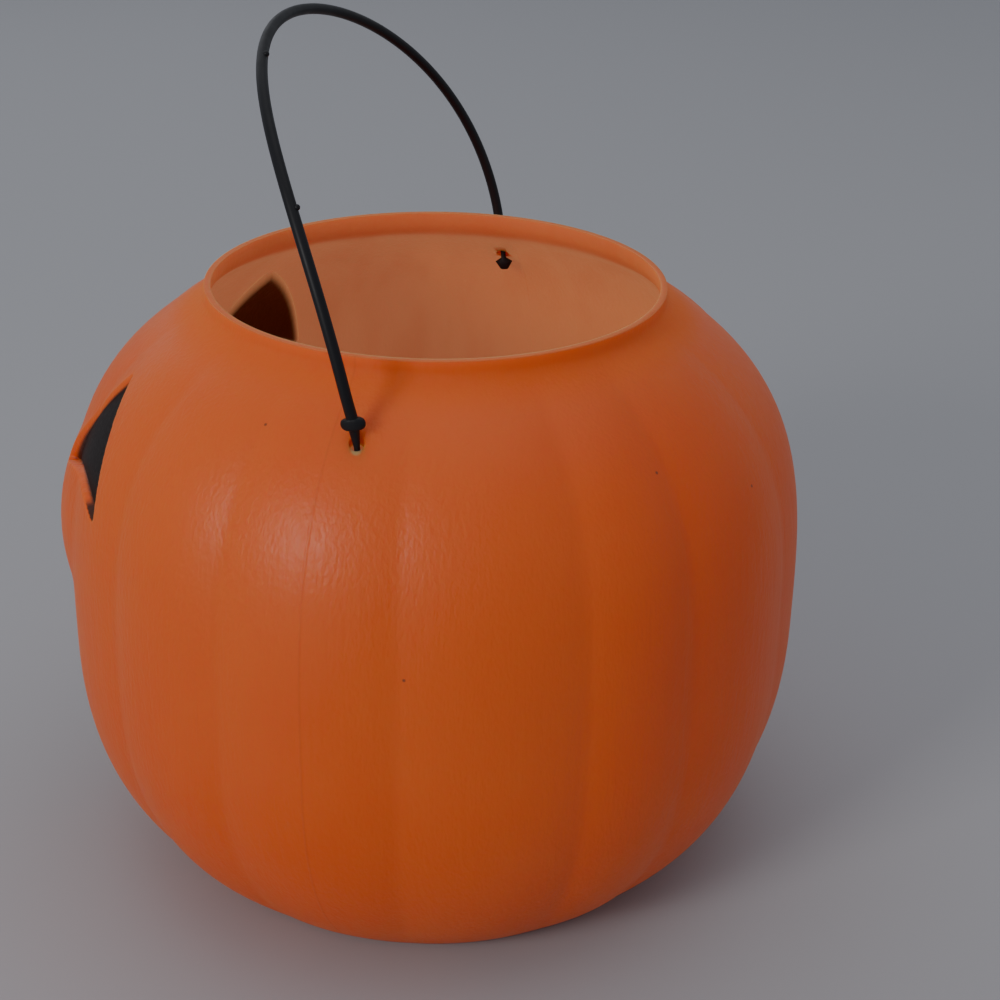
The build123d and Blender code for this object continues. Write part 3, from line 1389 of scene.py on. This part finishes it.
    def bent(self, points: np.ndarray) -> np.ndarray:
        """Bends flat points on to the bail's cylinder, and moves them to the two holes.

        Args:
            points: Places, one row each.

        Returns:
            The new places.
        """
        lean = math.radians(self.foot_lean)
        angle = lean + points[:, 2] / self.bend_radius
        reach = self.bend_radius + points[:, 1]
        back = reach * np.cos(angle) - self.bend_radius * math.cos(lean)
        up = reach * np.sin(angle) - self.bend_radius * math.sin(lean)
        along = np.array(SWING["axis"])
        square = np.array((-along[1], along[0], 0))
        place = np.outer(points[:, 0], along) + np.outer(back, square) + np.array(SWING["pos_m"])
        place[:, 2] += up
        return place

    def dress(self, plastic: BlackPlastic) -> None:
        """Gives the bail its finish."""
        smooth(self.rod, self.crease)
        finish_piece(self.rod, Body.BAIL, Slot.HANDLE, plastic.material(), "handle")


# Studio


@dataclass(frozen=True)
class Lamp:
    """Soft square light that looks at the pail. Metres and watts."""

    name: str
    place: Point3
    size: float
    power: float
    colour: Point3
    aim_height: float = 0.1

    def hang(self) -> None:
        """Hangs the light in its place."""
        start_clean()
        bpy.ops.object.light_add(type="AREA", location=self.place)
        lamp = bpy.context.object
        lamp.name = self.name
        lamp.data.size = self.size
        lamp.data.energy = self.power
        lamp.data.color = self.colour
        aim = Vector((0, 0, self.aim_height)) - Vector(self.place)
        lamp.rotation_euler = aim.to_track_quat("-Z", "Y").to_euler()


@dataclass(frozen=True)
class Studio:
    """Plain pale floor, soft lights and the camera of the photograph. Metres."""

    camera_place: Point3 = (0.48839, 0.15212, 0.34756)
    camera_forward: Point3 = (-0.87302, -0.23638, -0.42657)
    camera_up: Point3 = (-0.40623, -0.1315, 0.90426)
    lens: float = 68.4
    sensor: float = 36.0
    near_clip: float = 0.01
    floor_size: float = 8.0
    floor_colour: Rgba = (0.42, 0.42, 0.44, 1)
    floor_roughness: float = 0.7
    sky_colour: Rgba = (0.80, 0.84, 0.92, 1)
    sky_strength: float = 0.44
    lamps: tuple[Lamp, ...] = (
        Lamp("window", (1.14, -0.51, 0.63), 0.36, 6.2, (1.0, 0.98, 0.95)),
        Lamp("ceiling", (-0.1, 0.1, 1.5), 1.4, 3.4, (1.0, 0.99, 0.97)),
        Lamp("far_fill", (-0.9, -0.9, 0.8), 1.0, 1.1, (0.95, 0.97, 1.0)),
    )

    def build(self) -> None:
        """Sets the stage, the lights and the camera."""
        self.lay_floor()
        for lamp in self.lamps:
            lamp.hang()
        world = bpy.data.worlds.new("studio")
        bpy.context.scene.world = world
        world.use_nodes = True
        background = world.node_tree.nodes["Background"]
        background.inputs["Color"].default_value = self.sky_colour
        background.inputs["Strength"].default_value = self.sky_strength
        self.stand_camera()

    def lay_floor(self) -> None:
        """Lays the plain floor."""
        start_clean()
        bpy.ops.mesh.primitive_plane_add(size=self.floor_size)
        floor = named("studio_floor")
        shader = Shader("floor_paint")
        paint = shader.surface(Base_Color=self.floor_colour, Roughness=self.floor_roughness)
        floor.data.materials.append(paint)

    def stand_camera(self) -> None:
        """Stands the camera where the photograph was taken."""
        forward = Vector(self.camera_forward).normalized()
        right = forward.cross(Vector(self.camera_up)).normalized()
        rows = Matrix((right, right.cross(forward), -forward)).transposed().to_4x4()
        data = bpy.data.cameras.new("photo_camera")
        data.lens = self.lens
        data.sensor_width = self.sensor
        data.clip_start = self.near_clip
        camera = bpy.data.objects.new("photo_camera", data)
        bpy.context.scene.collection.objects.link(camera)
        camera.matrix_world = Matrix.Translation(self.camera_place) @ rows
        bpy.context.scene.camera = camera


def main() -> None:
    """Builds and dresses the pail, then sets the studio."""
    logging.basicConfig(level=logging.INFO, format="%(message)s")
    body = PailBody()
    body.build()
    body.dress(MouldedShell(), SprayPaint())
    bail = Bail()
    bail.build()
    bail.dress(BlackPlastic())
    Studio().build()


if __name__ == "__main__":
    main()
